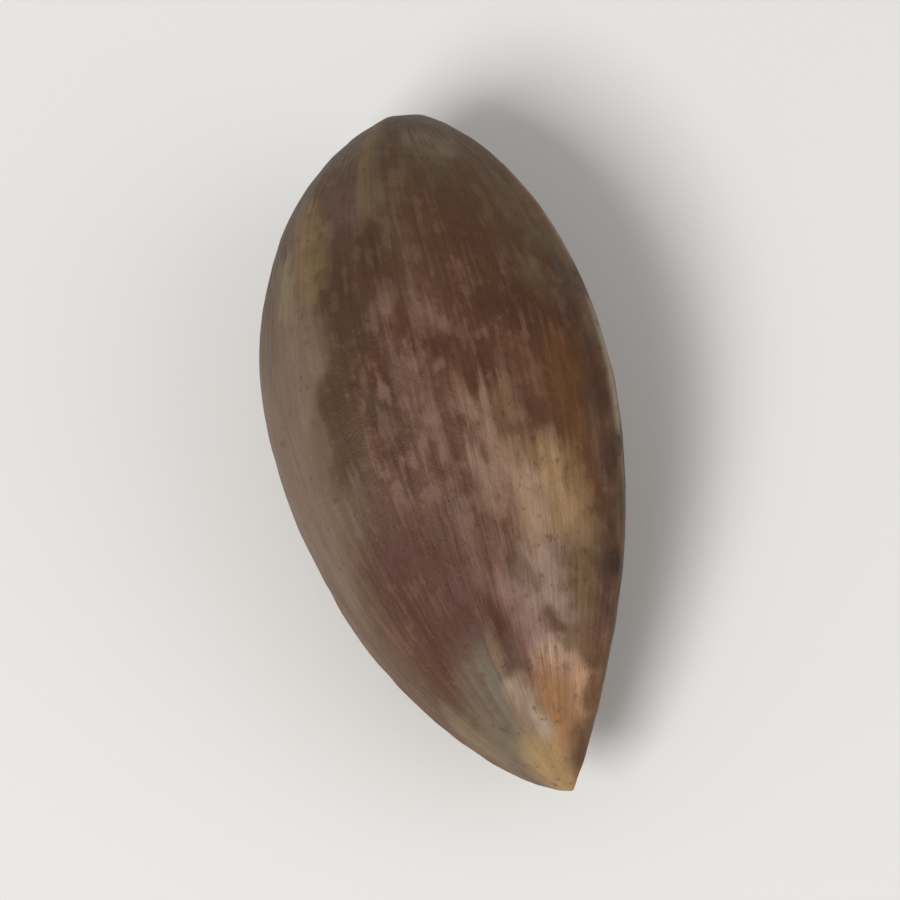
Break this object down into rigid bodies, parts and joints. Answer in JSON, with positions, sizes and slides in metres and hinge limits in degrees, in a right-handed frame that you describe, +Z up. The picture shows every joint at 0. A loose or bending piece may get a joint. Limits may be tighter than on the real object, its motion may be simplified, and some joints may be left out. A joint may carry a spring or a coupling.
{
  "type": "pine nut",
  "caption": "Pine nut in its woody shell: a blunt base, a drawn-out tip, a low keel along the seam and soft ridges, lying on a small flat spot.",
  "frame": {"origin": "under the middle of the nut's box, on the surface it lies on", "axes": "+Z up from the surface, +Y from the tip to the blunt base, +X to the right of someone who looks down on the nut with its base away from them"},
  "size_m": [0.0096, 0.02, 0.0082],
  "materials": {
    "woody_shell": "dry satin shell, reddish brown with tan where the skin is rubbed"
  },
  "bodies": {
    "root": {"pine_nut": "woody_shell"}
  },
  "joints": []
}
